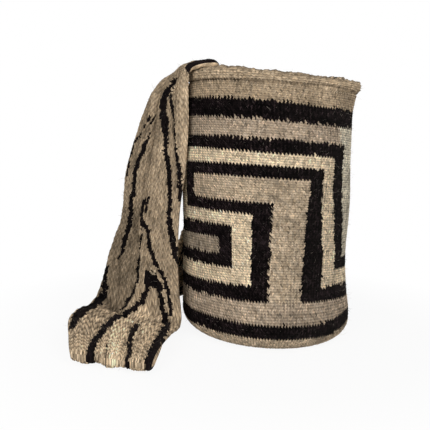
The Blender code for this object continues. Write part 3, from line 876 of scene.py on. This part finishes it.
def strap_stripes(along, across, outer, ragged):
    """True where a dark stripe shows, on the strap's outer side or its inner one."""
    dark = np.zeros(ragged.shape, bool)
    plain = (along < PLAIN_STRIPES_TO) | (along > PLAIN_STRIPES_FROM) | ~outer
    for place in PLAIN_STRIPES:
        apart = np.abs(across - place / 100) * STRAP_WIDTH
        dark |= plain & (apart < PLAIN_STRIPE_HALF / 1000 + ragged)
    for line in STRIPE_LINES:
        apart, where = line_distance(along, across, [point[1:] for point in line])
        half = np.interp(where, np.arange(len(line)), [point[0] for point in line]) / 1000
        dark |= outer & (apart < half + ragged)
    return dark


def strap_folds(along, across):
    """How far the strap's middle surface moves outward in its folds, and what lies behind a layer."""
    moved = np.zeros(np.broadcast_shapes(along.shape, across.shape))
    for depth, width, line in FOLD_LINES:
        apart, _ = line_distance(along, across, line)
        moved -= depth / 1000 * np.exp(-((apart / (width / 1000)) ** 2))
    line = np.array(OVERLAP_LINE, float)
    edge = np.interp(along * 1000, line[:, 0], line[:, 1]) / 100
    strength = np.interp(along * 1000, OVERLAP_SPAN, (0, 1, 1, 0))
    behind = strength * np.clip((across - edge) / OVERLAP_EDGE + 0.5, 0, 1)
    return moved - OVERLAP_DEPTH * behind, behind


def plaits_to(along):
    """How many plaits there are from the strap's first end to here."""
    ends, counts = [0.0], [0.0]
    for end, pitch in BRAID_PITCHES:
        counts.append(counts[-1] + (end - ends[-1]) / pitch)
        ends.append(end)
    return np.interp(along, ends, counts)


def braid_at(along, across):
    """The braids' relief: how full a plait stands here, and how deep the groove between plaits is."""
    braid = across * BRAID_COLUMNS
    leg = np.abs(2 * (braid % 1) - 1)
    starts = np.random.default_rng(43).uniform(0, 1, 2 * BRAID_COLUMNS + 1)
    start = 0.5 * starts[np.floor(2 * braid).astype(int)] + starts[np.floor(braid).astype(int)]
    plait = 0.5 + 0.5 * np.cos(2 * math.pi * (plaits_to(along) + start + BRAID_SLANT * leg))
    middle = np.where(leg < MIDDLE_GROOVE[0], MIDDLE_GROOVE[1], 0.0)
    groove = np.where(leg > GROOVE_FROM, (leg - GROOVE_FROM) / (1 - GROOVE_FROM), middle)
    return plait, groove


def strap_colours(points, along, across, outer, length):
    """A colour for each face of the strap: its stripes, random tones of its plaits, and painted light and
    shade on its plaits, grooves, folds, lying part and right edge.
    """
    ragged = sum(size * waves(points, seed, pitch) for size, seed, pitch in STRIPE_WAVERS)
    dark = strap_stripes(along, across, outer, ragged)
    yarn = np.where(dark, WOOLS.index("dark"), WOOLS.index("strap"))
    curl, _ = line_distance(along, across, PALE_CURL)
    yarn[outer & (curl < PALE_CURL_HALF + ragged)] = WOOLS.index("cream")

    # Painted light where the strap lies folded, as lit from above
    lying = np.clip((along - STRAP_LIES[0]) / (STRAP_LIES[1] - STRAP_LIES[0]), 0, 1)
    # Painted shading of the plaits' relief and painted shade in the grooves, stronger where the strap lies
    plait, groove = braid_at(along, across)
    shade = (1 + LYING_PAINTED_LIGHT * lying) * (1 + (PLAIT_PAINTED_SHADING[0] + PLAIT_PAINTED_SHADING[1] * lying) * (2 * plait - 1))
    shade *= 1 - (BRAID_GROOVE_PAINTED_SHADE[0] + BRAID_GROOVE_PAINTED_SHADE[1] * lying) * groove
    # Painted shade in the folds and on the layer that lies behind the other
    moved, behind = strap_folds(along, across)
    fold = 1 + FOLD_PAINTED_SHADE * (moved + OVERLAP_DEPTH * behind)
    shade *= (1 - BEHIND_PAINTED_SHADE * behind) * np.clip(fold, *FOLD_SHADE_LIMITS)
    # A painted pool of light in the middle of the lying part
    more, middle, width = LIT_MIDDLE
    shade *= 1 + more * lying * np.exp(-(((across - middle) / width) ** 2))
    # Painted light on the right edge
    edge = np.interp(along, *zip(*LIT_EDGE))
    shade *= 1 + edge * np.exp(-((across / LIT_EDGE_WIDTH) ** 2))
    legs = BRAID_COLUMNS * 2
    plaits = int(plaits_to(length)) + 1
    by_plait = np.random.default_rng(61).normal(0, PLAIT_VARIES, (plaits, legs))
    leg_number = np.clip((across * legs).astype(int), 0, legs - 1)
    plait_number = np.clip(plaits_to(along).astype(int), 0, plaits - 1)
    patches = STRAP_PATCH_VARIES * waves(points, seed=63, pitch=0.02)
    shade *= 1 + by_plait[plait_number, leg_number] + patches
    return wool_colours(yarn, shade, seed=67)


def make_strap():
    """The strap, braided and folded, and its length."""
    across = np.linspace(0, 1, BRAID_COLUMNS * FACES_PER_BRAID + 1)
    middle, run = strap_middle(across, BRAID_ROWS)
    side = np.gradient(middle, axis=1)
    normal = np.cross(side, np.gradient(middle, axis=0))
    normal /= np.linalg.norm(normal, axis=2, keepdims=True)
    along = run[:, None]
    middle = middle + strap_folds(along, across[None, :])[0][..., None] * normal

    plait, groove = braid_at(along, across[None, :])
    stands = settings().braid_relief * (PLAIT_FULLNESS * plait - groove)
    stands = stands + waves(middle, seed=41, pitch=0.012) * STRAP_LUMPS
    edge = np.minimum(across, 1 - across)[None, :] * STRAP_WIDTH
    end = np.minimum(along, run[-1] - along)
    half = STRAP_THICKNESS / 2 * np.sqrt(1 - np.clip(1 - edge / EDGE_ROUND, 0, 1) ** 2)
    half = half * np.sqrt(1 - END_THINNING * np.clip(1 - end / EDGE_ROUND, 0, 1) ** 2) + THINNEST
    thick = half + stands * np.clip(half / (STRAP_THICKNESS / 2), 0, 1)
    # The inner side has half as many columns as the outer one
    outer = middle + thick[..., None] * normal
    inner = middle - thick[..., None] * normal
    rings = np.concatenate([outer, inner[:, -3:0:-2]], axis=1)
    rings[..., 2] = np.maximum(rings[..., 2], 0.0)

    places = np.concatenate([across, across[-3:0:-2]])
    face_across = ((places + np.roll(places, -1)) / 2)[None, :]
    face_outer = (np.arange(len(places)) < len(across) - 1)[None, :]
    face_along = ((run[:-1] + run[1:]) / 2)[:, None]
    face_points = (rings[:-1] + rings[1:]) / 2
    colours = strap_colours(face_points, face_along, face_across, face_outer, run[-1])
    strap = grid_piece("braided_strap", rings, colours, True)
    strap.data.materials.append(wool_material("braided wool", 0.0012, depth=0.0009, sheen=0.015))
    return strap, run[-1]


def sewing_places():
    """Where each sewing stitch is, the way off the strap's edge there, and the way into the wall."""
    surface, run = strap_middle(np.linspace(0, 1, 2 * END_STITCHES + 1), BRAID_ROWS)
    side, along = np.gradient(surface, axis=1), np.gradient(surface, axis=0)
    step = run[1] - run[0]
    last = len(surface) - 1
    found = []
    for end, way in ((0, 1), (last, -1)):
        spots = [(end, column, -way * along[end, column]) for column in range(1, 2 * END_STITCHES, 2)]
        for distance in SIDE_STITCHES:
            row = end + way * round(distance / step)
            spots += [(row, 0, -side[row, 0]), (row, -1, side[row, -1])]
        for row, column, off in spots:
            point, off = Vector(surface[row, column]), Vector(off).normalized()
            into = Vector(np.cross(along[row, column], side[row, column])).normalized()
            if into.dot(Vector((point.x, point.y, 0))) < 0:
                into = -into
            found.append((point, off, into))
    return found


def make_sewing():
    """Whip stitches of thick yarn, each a ring round the strap's edge and through the wall."""
    places = sewing_places()
    bpy.ops.object.select_all(action="DESELECT")
    bpy.ops.mesh.primitive_torus_add(
        major_segments=12, minor_segments=4, major_radius=STITCH_REACH, minor_radius=STITCH_YARN
    )
    first = bpy.context.object
    first.name = "sewing_yarn"
    stitches = [first]
    for _ in places[1:]:
        bpy.ops.object.duplicate(linked=False)
        stitches.append(bpy.context.object)
    slope = Matrix.Rotation(math.radians(STITCH_SLOPE), 3, "Y")
    for stitch, (point, off, into) in zip(stitches, places):
        turned = Matrix((off, into, off.cross(into))).transposed() @ slope
        stitch.matrix_world = Matrix.Translation(point + into * STITCH_DEPTH) @ turned.to_4x4()
    bpy.ops.object.select_all(action="DESELECT")
    for stitch in stitches:
        stitch.select_set(True)
    bpy.context.view_layer.objects.active = first
    bpy.ops.object.transform_apply(location=True, rotation=True, scale=True)
    bpy.ops.object.join()
    bpy.ops.object.shade_smooth()
    paint(first.data, "POINT", len(first.data.vertices), np.array([settings().strap]))
    first.data.materials.append(wool_material("sewing wool", 0.0008, depth=0.0003, sheen=0.015))
    return first


def face_values(mesh, key):
    """A vector for each face of a mesh, such as its middle."""
    found = np.empty(len(mesh.polygons) * 3)
    mesh.polygons.foreach_get(key, found)
    return found.reshape(-1, 3)


def hair_piece(name, piece, count, length, seed, lowest, outside_only):
    """Loose wool hairs that grow from a piece: thin closed spikes that bend away from it."""
    mesh = piece.data
    draws = np.random.default_rng(seed)
    centres, normals = face_values(mesh, "center"), face_values(mesh, "normal")
    corner = np.empty(len(mesh.polygons), np.int32)
    mesh.polygons.foreach_get("loop_start", corner)
    colours = np.empty(len(mesh.loops) * 4, np.float32)
    mesh.color_attributes["yarn"].data.foreach_get("color", colours)
    colours = colours.reshape(-1, 4)[corner]
    allowed = centres[:, 2] > lowest
    if outside_only:
        allowed &= (centres[:, :2] * normals[:, :2]).sum(axis=1) > 0
    picked = draws.choice(np.flatnonzero(allowed), count, replace=False)
    up = normals[picked]
    level_way = np.cross(up, draws.normal(size=(count, 3)))
    level_way /= np.linalg.norm(level_way, axis=1, keepdims=True)
    across = np.cross(up, level_way)
    lean = draws.uniform(*HAIR_LEAN, (count, 1))
    reach = (length * draws.lognormal(0, HAIR_SPREAD, count).clip(*HAIR_SPAN))[:, None]
    bend = across * draws.normal(0, HAIR_BEND, (count, 1))
    root = centres[picked] - up * HAIR_ROOT
    line = [
        root
        + up * reach * lean * (s - HAIR_DROOP * s**2)
        + level_way * reach * (1.15 - lean) * s
        + bend * reach * s**2
        for s in (0.0, 0.35, 0.7, 1.0)
    ]
    line = np.stack(line, axis=1)
    line[..., 2] = np.maximum(line[..., 2], HAIR_ROOT)
    thick = HAIR_THICKNESS * draws.uniform(0.7, 1.3, (count, 1, 1, 1))
    around = np.radians([90, 210, 330])
    ring = np.cos(around)[None, None, :, None] * level_way[:, None, None, :]
    ring = ring + np.sin(around)[None, None, :, None] * across[:, None, None, :]
    taper = np.array([1.0, 0.9, 0.65])[None, :, None, None]
    tubes = line[:, :3, None, :] + ring * taper * thick
    points = np.concatenate([tubes.reshape(count, 9, 3), line[:, 3:, :]], axis=1)
    pattern = [(2, 1, 0)]
    for k in (0, 3):
        pattern += [(k + a, k + b, k + b + 3, k + a + 3) for a, b in ((0, 1), (1, 2), (2, 0))]
    pattern += [(6, 7, 9), (7, 8, 9), (8, 6, 9)]
    faces = [tuple(10 * k + v for v in face) for k in range(count) for face in pattern]
    data = bpy.data.meshes.new(name)
    data.from_pydata(points.reshape(-1, 3), [], faces)
    hairs = bpy.data.objects.new(name, data)
    bpy.context.scene.collection.objects.link(hairs)
    pale = HAIR_PALING * draws.uniform(0.0, 1.0, (count, 1)) ** 2
    tint = colours[picked][:, :3] * draws.uniform(0.8, 1.3, (count, 1))
    tint = tint * (1 - pale) + np.array(HAIR_PALE) * pale
    paint(data, "POINT", 10, tint)
    data.shade_smooth()
    return hairs


class OBJECT_OT_mochila_bag(Operator):
    """Crochets the bag: base, wall and hem, with the meander"""

    bl_idname = "object.mochila_bag"
    bl_label = "Crocheted bag"

    def execute(self, context):
        bag = make_bag()
        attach(bag, BODY)
        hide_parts("bag_body")
        return {"FINISHED"}


class OBJECT_OT_mochila_strap(Operator):
    """Braids the strap and lays it over the bag's left side"""

    bl_idname = "object.mochila_strap"
    bl_label = "Braided strap"

    def execute(self, context):
        strap, length = make_strap()
        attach(strap, BODY)
        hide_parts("strap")
        return {"FINISHED"}


class OBJECT_OT_mochila_sewing(Operator):
    """Sews the strap's two ends to the inside of the mouth"""

    bl_idname = "object.mochila_sewing"
    bl_label = "Sewing yarn"

    def execute(self, context):
        sewing = make_sewing()
        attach(sewing, BODY)
        return {"FINISHED"}


class OBJECT_OT_mochila_hairs(Operator):
    """Adds the loose wool hairs on the bag and the strap"""

    bl_idname = "object.mochila_hairs"
    bl_label = "Loose wool hairs"

    def execute(self, context):
        values = settings()
        material = wool_material("loose wool", 0.0030, depth=0.0001, sheen=0.2)
        for name, source, slot, count, seed, lowest, outside_only in (
            ("bag_hairs", "crocheted_bag", "body_wool", values.bag_hairs, 71, 0.004, True),
            ("strap_hairs", "braided_strap", "strap_wool", values.strap_hairs, 73, 0.006, False),
        ):
            piece = bpy.data.objects[source]
            hairs = hair_piece(name, piece, count, values.hair_length, seed, lowest, outside_only)
            hairs.data.materials.append(material)
            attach(hairs, BODY)
        return {"FINISHED"}


class SCENE_OT_mochila_stage(Operator):
    """Sets the pale floor, the soft lights and the photograph's camera"""

    bl_idname = "scene.mochila_stage"
    bl_label = "Stage and camera"

    def execute(self, context):
        make_floor()
        make_lights()
        make_camera()
        context.scene.view_settings.view_transform = "Standard"
        return {"FINISHED"}


def seen_from_camera(tree):
    """A value of 1 for what the camera sees, straight or in a mirror or glass, and 0 for the rest."""
    rays = shaded(tree, "ShaderNodeLightPath").outputs
    seen = calculated(tree, "MAXIMUM", rays["Is Camera Ray"], rays["Is Glossy Ray"])
    return calculated(tree, "MAXIMUM", seen, rays["Is Transmission Ray"])


def make_floor():
    """A pale floor that keeps a faint shadow and looks white to the camera."""
    bpy.ops.object.select_all(action="DESELECT")
    bpy.ops.mesh.primitive_plane_add(size=FLOOR_SIZE, location=(0, 0, -FLOOR_GAP))
    floor = bpy.context.object
    floor.name = "studio_floor"
    bpy.ops.object.transform_apply(location=True, rotation=True, scale=True)
    material = bpy.data.materials.new("pale floor")
    material.use_nodes = True
    tree = material.node_tree
    matte = tree.nodes["Principled BSDF"]
    feed(tree, matte, {"Base Color": FLOOR_COLOUR, "Roughness": 0.9})
    white = shaded(tree, "ShaderNodeEmission", {"Color": WHITE, "Strength": 1.0}).outputs["Emission"]
    place = shaded(tree, "ShaderNodeTexCoord").outputs["Object"]
    reach = shaded(tree, "ShaderNodeVectorMath", {0: place}, operation="LENGTH").outputs["Value"]
    whiteness = ranged(tree, reach, *FLOOR_SHADOW_REACH, FLOOR_WHITENESS, 1.0)
    share = calculated(tree, "MULTIPLY", seen_from_camera(tree), whiteness)
    surface = mixed(tree, share, matte.outputs["BSDF"], white)
    feed(tree, tree.nodes["Material Output"], {"Surface": surface})
    floor.data.materials.append(material)


def make_lights():
    """Soft light from the front right and from all round, before a white background."""
    world = bpy.context.scene.world or bpy.data.worlds.new("studio")
    bpy.context.scene.world = world
    world.use_nodes = True
    tree = world.node_tree
    tree.nodes.clear()
    lit, seen = (
        shaded(tree, "ShaderNodeBackground", {"Color": WHITE, "Strength": strength}).outputs["Background"]
        for strength in (AMBIENT, 1.0)
    )
    shaded(tree, "ShaderNodeOutputWorld", {"Surface": mixed(tree, seen_from_camera(tree), lit, seen)})
    for name, place, size, power in SOFTBOXES:
        bpy.ops.object.light_add(type="AREA", location=place)
        lamp = bpy.context.object
        lamp.name = name
        lamp.data.size = size
        lamp.data.energy = power
        aim = Vector(LIGHT_AIM) - Vector(place)
        lamp.rotation_euler = aim.to_track_quat("-Z", "Y").to_euler()


def make_camera():
    """The camera, turned and rolled as the photograph was taken."""
    pitch, roll = math.radians(CAMERA_PITCH), math.radians(CAMERA_ROLL)
    ahead = Vector((0, math.cos(pitch), -math.sin(pitch)))
    right = Vector((1, 0, 0))
    up = right.cross(ahead)
    rolled_right = math.cos(roll) * right + math.sin(roll) * up
    rolled_up = -math.sin(roll) * right + math.cos(roll) * up
    bpy.ops.object.camera_add()
    camera = bpy.context.object
    camera.name = "photo_camera"
    turned = Matrix((rolled_right, rolled_up, -ahead)).transposed().to_4x4()
    camera.matrix_world = Matrix.Translation(CAMERA_PLACE) @ turned
    camera.data.lens = CAMERA_LENS
    camera.data.sensor_width = CAMERA_SENSOR
    camera.data.clip_start = 0.01
    bpy.context.scene.camera = camera


class VIEW3D_PT_mochila(Panel):
    """Lists the bag's settings and the steps that build it"""

    bl_label = "Mochila bag"
    bl_idname = "VIEW3D_PT_mochila"
    bl_space_type = "VIEW_3D"
    bl_region_type = "UI"
    bl_category = "Mochila"

    def draw(self, context):
        values = context.scene.mochila_bag
        for key in BagSettings.__annotations__:
            self.layout.prop(values, key)
        for step in STEPS:
            self.layout.operator(step.bl_idname)


STEPS = (
    SCENE_OT_mochila_stage,
    OBJECT_OT_mochila_bag,
    OBJECT_OT_mochila_strap,
    OBJECT_OT_mochila_sewing,
    OBJECT_OT_mochila_hairs,
)
CLASSES = (BagSettings, *STEPS, VIEW3D_PT_mochila)


def register():
    for cls in CLASSES:
        bpy.utils.register_class(cls)
    bpy.types.Scene.mochila_bag = PointerProperty(type=BagSettings)


def unregister():
    del bpy.types.Scene.mochila_bag
    for cls in reversed(CLASSES):
        bpy.utils.unregister_class(cls)


def main():
    register()
    bpy.ops.scene.mochila_stage()
    bpy.ops.object.mochila_bag()
    bpy.ops.object.mochila_strap()
    bpy.ops.object.mochila_sewing()
    bpy.ops.object.mochila_hairs()


if __name__ == "__main__":
    main()
